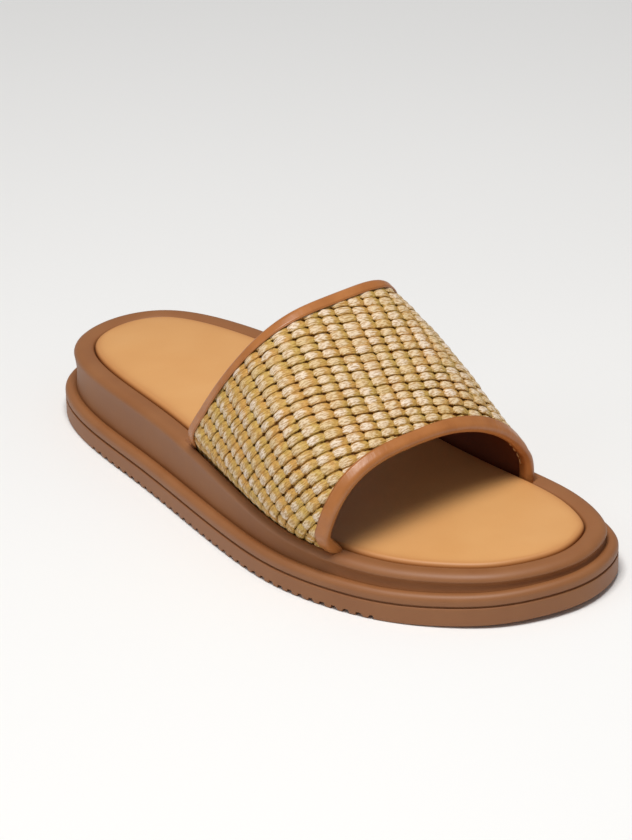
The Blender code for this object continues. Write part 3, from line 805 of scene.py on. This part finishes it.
def raffia():
    """Raffia straw: satin strips with fine fibres, golden, with a painted highlight that makes one part of
    each float pale and painted shade that makes a strip brown where it dips."""
    material, tree, shader = new_material("woven_raffia")
    strand = node(tree, "ShaderNodeUVMap", uv_map="strand").outputs["UV"]
    place = node(tree, "ShaderNodeTexCoord").outputs["Object"]
    stretched = node(tree, "ShaderNodeMapping", {"Vector": strand, "Rotation": (0.0, 0.0, 0.35),
                                                 "Scale": (0.6, 1.7, 1.0)})
    fibre = node(tree, "ShaderNodeTexNoise", {"Vector": stretched.outputs["Vector"], "Scale": 1.0,
                                              "Detail": 3.0})
    patch = node(tree, "ShaderNodeTexNoise", {"Vector": place, "Scale": per_mm(9), "Detail": 2.0})
    ripe = node(tree, "ShaderNodeMapRange", {"Value": patch.outputs["Fac"], "From Min": 0.38,
                                             "From Max": 0.62})
    shade = node(tree, "ShaderNodeAttribute", attribute_name="shade").outputs["Fac"]
    # Painted highlight: the crest mark is high where each float is painted pale.
    crest = node(tree, "ShaderNodeAttribute", attribute_name="crest").outputs["Fac"]
    # Painted shade: the next mark is high where a strip dips.
    sunk = node(tree, "ShaderNodeAttribute", attribute_name="sunk").outputs["Fac"]
    dye = node(tree, "ShaderNodeMix", {0: shade, 6: linear("E0C28C"), 7: linear("F6E4D0")}, data_type="RGBA")
    deep = node(tree, "ShaderNodeMix", {0: ripe.outputs["Result"], 6: linear("CDAA58"), 7: linear("D3A052")},
                data_type="RGBA")
    ragged = node(tree, "ShaderNodeMath", {0: fibre.outputs["Fac"], 1: 0.7, 2: crest},
                  operation="MULTIPLY_ADD")
    level = node(tree, "ShaderNodeMapRange", {"Value": ragged.outputs[0], "From Min": 1.0, "From Max": 1.28})
    # Pale where the painted highlight lies, golden elsewhere.
    body = node(tree, "ShaderNodeMix", {0: level.outputs["Result"], 6: deep.outputs[2], 7: dye.outputs[2]},
                data_type="RGBA")
    lines = node(tree, "ShaderNodeMapRange", {"Value": fibre.outputs["Fac"], "From Min": 0.54,
                                              "From Max": 0.40, "To Min": 0.0, "To Max": 0.6})
    streaked = node(tree, "ShaderNodeMix", {0: lines.outputs["Result"], 6: body.outputs[2],
                                            7: linear("A5742F")}, data_type="RGBA")
    # Painted shade: brown where a strip dips.
    dip_shaded = node(tree, "ShaderNodeMix", {0: sunk, 6: streaked.outputs[2], 7: linear("AE7C36")},
                 data_type="RGBA")
    bump = node(tree, "ShaderNodeBump", {"Height": fibre.outputs["Fac"], "Strength": 0.9,
                                         "Distance": 0.0008})
    tree.links.new(dip_shaded.outputs[2], shader.inputs["Base Color"])
    tree.links.new(bump.outputs["Normal"], shader.inputs["Normal"])
    shader.inputs["Roughness"].default_value = 0.48
    return material


def binding_leather():
    """Smooth cognac calf leather, folded and pressed: satin gloss, faint clouding and fine cross grain."""
    material, tree, shader = new_material("smooth_calf_leather")
    place = node(tree, "ShaderNodeTexCoord").outputs["Object"]
    strand = node(tree, "ShaderNodeUVMap", uv_map="strand").outputs["UV"]
    cloud = node(tree, "ShaderNodeTexNoise", {"Vector": place, "Scale": per_mm(9), "Detail": 4.0})
    stretched = node(tree, "ShaderNodeMapping", {"Vector": strand, "Scale": (0.55, 0.12, 1.0)})
    fold = node(tree, "ShaderNodeTexNoise", {"Vector": stretched.outputs["Vector"], "Scale": 1.0,
                                             "Detail": 3.0})
    pores = node(tree, "ShaderNodeTexVoronoi", {"Vector": place, "Scale": per_mm(0.5)})
    colour = node(tree, "ShaderNodeMix", {0: cloud.outputs["Fac"], 6: linear("965622"), 7: linear("C07D44")},
                  data_type="RGBA")
    fine = node(tree, "ShaderNodeBump", {"Height": pores.outputs["Distance"], "Strength": 0.12,
                                         "Distance": 0.00006})
    bump = node(tree, "ShaderNodeBump", {"Height": fold.outputs["Fac"], "Strength": 0.35, "Distance": 0.0006,
                                         "Normal": fine.outputs["Normal"]})
    tree.links.new(colour.outputs[2], shader.inputs["Base Color"])
    tree.links.new(bump.outputs["Normal"], shader.inputs["Normal"])
    shader.inputs["Roughness"].default_value = 0.36
    shader.inputs["Coat Weight"].default_value = 0.15
    shader.inputs["Coat Roughness"].default_value = 0.30
    return material


def lining_leather():
    """Brown pigskin lining inside, its browns darkened as painted shade for the inside of the strap, and the
    straw-coloured cloth that backs the weave on its other face.
    """
    material, tree, shader = new_material("pigskin_lining")
    place = node(tree, "ShaderNodeTexCoord").outputs["Object"]
    cloud = node(tree, "ShaderNodeTexNoise", {"Vector": place, "Scale": per_mm(14), "Detail": 4.0})
    pores = node(tree, "ShaderNodeTexVoronoi", {"Vector": place, "Scale": per_mm(0.9)})
    side = node(tree, "ShaderNodeAttribute", attribute_name="backing").outputs["Fac"]
    # Painted shade: these browns are darker than the leather itself, for the shade inside the strap.
    hide_with_painted_shade = node(tree, "ShaderNodeMix", {0: cloud.outputs["Fac"], 6: linear("62290C"), 7: linear("7C3C14")},
                data_type="RGBA")
    colour = node(tree, "ShaderNodeMix", {0: side, 6: hide_with_painted_shade.outputs[2], 7: linear("C08C44")},
                  data_type="RGBA")
    bump = node(tree, "ShaderNodeBump", {"Height": pores.outputs["Distance"], "Strength": 0.3,
                                         "Distance": 0.0001})
    tree.links.new(colour.outputs[2], shader.inputs["Base Color"])
    tree.links.new(bump.outputs["Normal"], shader.inputs["Normal"])
    shader.inputs["Roughness"].default_value = 0.62
    return material


def waxed_thread():
    """Waxed polyester thread: tan, slightly glossy, with a fine twist."""
    material, tree, shader = new_material("waxed_thread")
    place = node(tree, "ShaderNodeTexCoord").outputs["Object"]
    twist = node(tree, "ShaderNodeTexNoise", {"Vector": place, "Scale": per_mm(0.6)})
    colour = node(tree, "ShaderNodeMix", {0: twist.outputs["Fac"], 6: linear("B98B58"), 7: linear("DDB787")},
                  data_type="RGBA")
    tree.links.new(colour.outputs[2], shader.inputs["Base Color"])
    shader.inputs["Roughness"].default_value = 0.5
    return material


def painted_floor():
    """Matt white studio floor."""
    material, tree, shader = new_material("matt_studio_floor")
    place = node(tree, "ShaderNodeTexCoord").outputs["Object"]
    cloud = node(tree, "ShaderNodeTexNoise", {"Vector": place, "Scale": 2.0})
    colour = node(tree, "ShaderNodeMix", {0: cloud.outputs["Fac"], 6: linear("EDEDEC"), 7: linear("F4F4F3")},
                  data_type="RGBA")
    tree.links.new(colour.outputs[2], shader.inputs["Base Color"])
    shader.inputs["Roughness"].default_value = 0.9
    return material


def make_floor():
    """Level floor under the shoe."""
    mesh = bpy.data.meshes.new("studio_floor")
    corners = [(x * FLOOR_HALF, y * FLOOR_HALF, 0.0) for x, y in ((-1, -1), (1, -1), (1, 1), (-1, 1))]
    mesh.from_pydata(corners, [], [(0, 1, 2, 3)])
    mesh.materials.append(painted_floor())
    floor = bpy.data.objects.new("studio_floor", mesh)
    bpy.context.scene.collection.objects.link(floor)


def make_studio():
    """Pale surroundings, a floor and soft lamps, one overhead and one at the lateral side."""
    scene = bpy.context.scene
    world = bpy.data.worlds.new("studio")
    world.use_nodes = True
    background = world.node_tree.nodes["Background"]
    background.inputs["Color"].default_value = WORLD_COLOUR
    background.inputs["Strength"].default_value = WORLD_STRENGTH
    scene.world = world
    scene.view_settings.view_transform = "Standard"
    for name, place, side, power in LAMPS:
        light = bpy.data.lights.new(name, "AREA")
        light.size = side
        light.energy = power
        light.color = LAMP_COLOUR
        lamp = bpy.data.objects.new(name, light)
        lamp.location = place
        lamp.rotation_euler = (CAMERA_TARGET - Vector(place)).to_track_quat("-Z", "Y").to_euler()
        scene.collection.objects.link(lamp)
    make_floor()


def make_camera():
    """Camera at the photograph's place, turned to the shoe and rolled so that the picture's own level
    direction at the shoe stays level."""
    forward = (CAMERA_TARGET - CAMERA_PLACE).normalized()
    right = (CAMERA_RIGHT - CAMERA_RIGHT.dot(forward) * forward).normalized()
    up = right.cross(forward)
    data = bpy.data.cameras.new("camera")
    data.lens = CAMERA_LENS
    camera = bpy.data.objects.new("camera", data)
    turn = Matrix((right, up, -forward)).transposed().to_4x4()
    camera.matrix_world = Matrix.Translation(CAMERA_PLACE) @ turn
    bpy.context.scene.collection.objects.link(camera)
    bpy.context.scene.camera = camera


make_camera()
make_studio()
eva = moulded_eva()
straw = raffia()
calf = binding_leather()
make_outsole(eva)
make_midsole(eva)
make_insole(insole_leather())
make_lining(lining_leather())
make_strands(straw)
make_cords(straw)
make_binding("front_edge_binding", "front_binding", True, FRONT_CREASES, calf)
make_binding("rear_edge_binding", "rear_binding", False, REAR_CREASES, calf)
make_stitches(waxed_thread())
